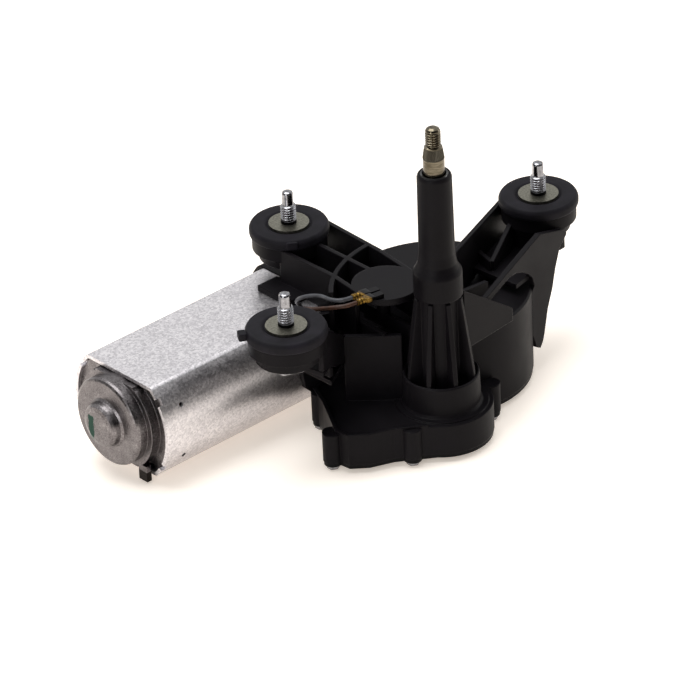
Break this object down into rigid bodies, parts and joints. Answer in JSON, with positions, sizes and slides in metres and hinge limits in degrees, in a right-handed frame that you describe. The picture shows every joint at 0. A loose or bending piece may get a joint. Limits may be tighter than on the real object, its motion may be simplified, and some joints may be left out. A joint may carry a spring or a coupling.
{
  "type": "wiper motor",
  "caption": "Rear wiper motor with a ribbed three-point gear housing, rubber-mounted studs, a toothed rod drive and a swinging spindle.",
  "frame": {"origin": "on the spindle axis, in the plane that the three stud washers clamp against the body panel", "axes": "+Z along the spindle out through the glass or panel, +X along the motor shaft towards the gearbox, +Y from the spindle towards the motor"},
  "size_m": [0.2023, 0.1174, 0.131],
  "materials": {
    "black_nylon": "glass-filled nylon, satin black",
    "cover_steel": "pressed steel painted satin black",
    "zinc_fastener": "bright zinc plate",
    "washer_zinc": "dull zinc plate",
    "can_steel": "galvanised sheet with a fine spangle",
    "end_steel": "drawn steel, darker zinc",
    "spindle_steel": "nickel-plated ground steel",
    "gear_steel": "sintered steel, lightly oiled",
    "lamination_steel": "stacked electrical steel",
    "bush_bronze": "oil-filled sintered bronze",
    "terminal_brass": "half-hard brass strip",
    "copper": "enamelled copper",
    "wheel_nylon": "natural nylon",
    "card_plastic": "brown phenolic",
    "ferrite": "sintered ferrite",
    "graphite": "copper graphite brush",
    "mount_rubber": "moulded rubber, satin black",
    "seal_rubber": "black nitrile rubber",
    "grey_wire": "grey PVC insulation",
    "brown_wire": "brown PVC insulation"
  },
  "bodies": {
    "housing": {"gear_housing": "black_nylon", "bottom_cover": "cover_steel", "cover_screws": "zinc_fastener", "lower_bush": "bush_bronze", "upper_bush": "bush_bronze", "spindle_seal": "seal_rubber", "thrust_washer": "gear_steel", "wheel_axle": "gear_steel", "axle_ring": "gear_steel", "front_bearing": "bush_bronze", "rear_bush": "bush_bronze", "rear_thrust": "gear_steel", "nose_bush": "bush_bronze", "nose_thrust": "gear_steel", "motor_can": "can_steel", "end_plate": "end_steel", "magnets": "ferrite", "brush_holder": "card_plastic", "brushes": "graphite", "brush_springs": "gear_steel", "motor_screws": "zinc_fastener", "stud_sleeves": "zinc_fastener", "stud_washers": "washer_zinc", "mount_studs": "zinc_fastener", "grey_lead": "grey_wire", "brown_lead": "brown_wire", "lead_terminals": "terminal_brass", "tab_terminals": "terminal_brass", "isolator_1": "mount_rubber", "isolator_2": "mount_rubber", "isolator_3": "mount_rubber"},
    "armature": {"armature_shaft": "gear_steel", "armature_core": "lamination_steel", "windings": "copper", "commutator": "copper"},
    "wheel": {"worm_wheel": "wheel_nylon", "crank_pin": "gear_steel"},
    "spindle": {"spindle": "spindle_steel", "pinion": "gear_steel"},
    "link": {"link_plate": "gear_steel"},
    "rod": {"sector_rod": "gear_steel", "link_pin": "gear_steel"}
  },
  "joints": [
    {"name": "armature_spin", "type": "hinge", "parent": "housing", "child": "armature", "pos_m": [0, 0.07, -0.0398], "axis": [1, 0, 0], "continuous": true},
    {"name": "wheel_spin", "type": "hinge", "parent": "housing", "child": "wheel", "pos_m": [0.03, 0.034, -0.0398], "axis": [0, 0, 1], "continuous": true},
    {"name": "spindle_swing", "type": "hinge", "parent": "housing", "child": "spindle", "pos_m": [0, 0, 0], "axis": [0, 0, 1], "range_deg": [0, 108.7]},
    {"name": "link_swing", "type": "hinge", "parent": "housing", "child": "link", "pos_m": [0, 0, -0.0575], "axis": [0, 0, 1], "range_deg": [0, 33]},
    {"name": "rod_swing", "type": "hinge", "parent": "link", "child": "rod", "pos_m": [-0.01201, 0.0225, -0.053], "axis": [0, 0, 1], "range_deg": [-31.6, 0]}
  ],
  "couplings": [
    {"joint": "wheel_spin", "follows": "armature_spin", "ratio": 0.015625},
    {"joint": "link_swing", "follows": "spindle_swing", "ratio": 0.30332},
    {"joint": "rod_swing", "follows": "spindle_swing", "ratio": -0.29028}
  ]
}
